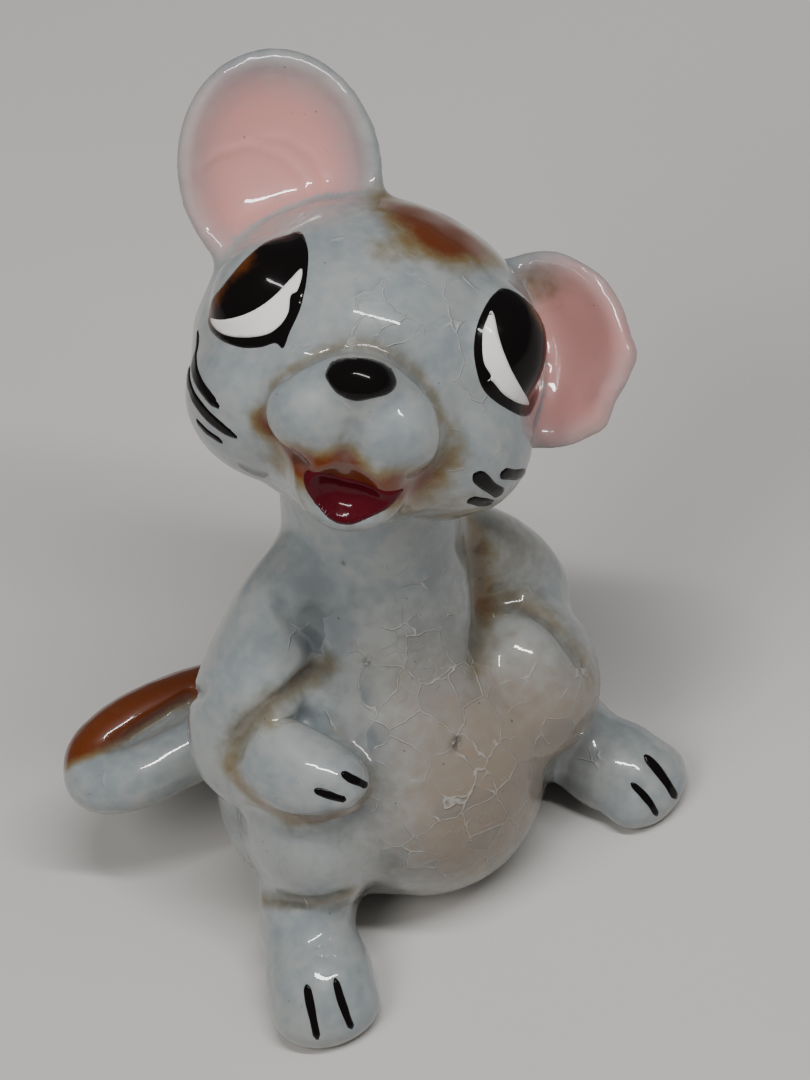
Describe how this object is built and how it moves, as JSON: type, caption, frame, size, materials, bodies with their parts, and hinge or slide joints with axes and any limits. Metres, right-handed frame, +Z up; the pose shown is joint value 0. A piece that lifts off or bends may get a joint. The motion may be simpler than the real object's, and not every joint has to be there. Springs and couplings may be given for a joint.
{
  "type": "ceramic mouse figurine",
  "caption": "Small hollow glazed china mouse sitting upright with its face turned up, one hand on its belly, round cupped ears and a folded tail; a free-standing ornament.",
  "frame": {"origin": "middle of the footprint box, at the height of the ground base and soles", "axes": "+Z up, -Y the way the belly and the feet point, +X the mouse's left"},
  "size_m": [0.0462, 0.0358, 0.0601],
  "materials": {
    "grey_glaze": "glossy crazed glaze, light blue-grey with brown airbrushing",
    "pink_glaze": "glossy glaze, pink inside the cup and grey on the rim and back",
    "black_enamel": "glossy black enamel",
    "white_enamel": "glossy white enamel, in the eyes",
    "maroon_enamel": "glossy maroon enamel, in the mouth"
  },
  "bodies": {
    "root": {"body": "grey_glaze", "head": "grey_glaze", "ear_right": "pink_glaze", "ear_left": "pink_glaze", "arm_right": "grey_glaze", "arm_left": "grey_glaze", "leg_right": "grey_glaze", "leg_left": "grey_glaze", "foot_right": "grey_glaze", "foot_left": "grey_glaze", "tail": "grey_glaze", "nose": "black_enamel"}
  },
  "joints": []
}
